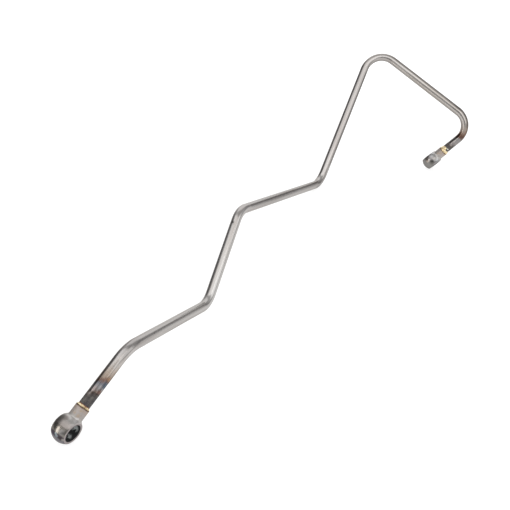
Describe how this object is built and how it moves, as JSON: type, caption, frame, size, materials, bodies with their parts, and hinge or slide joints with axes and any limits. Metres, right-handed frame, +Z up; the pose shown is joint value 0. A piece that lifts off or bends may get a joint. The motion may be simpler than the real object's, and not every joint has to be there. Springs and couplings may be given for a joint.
{
  "type": "engine fuel line",
  "caption": "Rigid steel fuel line: a hollow tube bent to a stepped route with a hook at one end, and a brazed banjo eye on each end for a hollow bolt.",
  "frame": {"origin": "on the floor, under the middle of the line's bounding box", "axes": "+Z up as the line lies at rest, +X from the inlet eye towards the outlet eye, +Y towards the outside of the fourth bend"},
  "size_m": [0.5168, 0.1126, 0.1132],
  "materials": {
    "drawn_steel": "bare drawn steel with fine lengthwise lines, heat-tinted towards both brazed ends",
    "tinted_steel": "turned steel with a pinkish brown-grey heat tint",
    "brazing_metal": "pale gold brazing metal, as it set"
  },
  "bodies": {
    "root": {"fuel_tube": "drawn_steel", "inlet_banjo_eye": "tinted_steel", "outlet_banjo_eye": "tinted_steel", "inlet_braze_ring": "brazing_metal", "outlet_braze_ring": "brazing_metal"}
  },
  "joints": []
}
